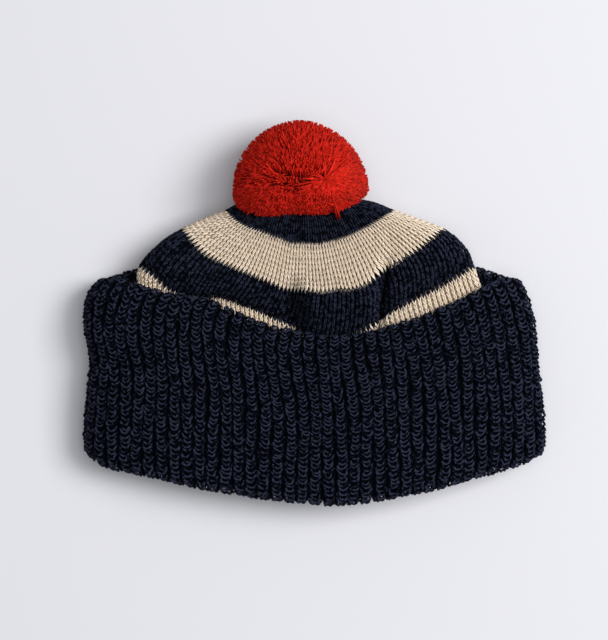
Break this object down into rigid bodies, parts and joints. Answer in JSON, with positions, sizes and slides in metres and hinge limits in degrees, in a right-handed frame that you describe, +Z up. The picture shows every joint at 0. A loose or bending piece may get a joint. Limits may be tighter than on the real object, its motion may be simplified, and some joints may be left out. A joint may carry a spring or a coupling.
{
  "type": "knitted bobble hat",
  "caption": "Striped rib-knit bobble hat with a deep turn-up and a pompom, lying on its back, hollow and open at the mouth.",
  "frame": {"origin": "on the surface that the hat lies on, under the middle of its bounding box", "axes": "+X across the hat to the wearer's left as it lies face up, +Y from the mouth to the pompom, +Z up"},
  "size_m": [0.2606, 0.2156, 0.0586],
  "materials": {
    "navy_wool": "ribbed wool knit",
    "cream_wool": "ribbed wool knit",
    "red_wool": "cut wool pile"
  },
  "bodies": {
    "root": {"cuff": "navy_wool", "lower_cream_stripe": "cream_wool", "navy_stripe": "navy_wool", "upper_cream_stripe": "cream_wool", "crown_tip": "navy_wool", "pompom": "red_wool"}
  },
  "joints": []
}
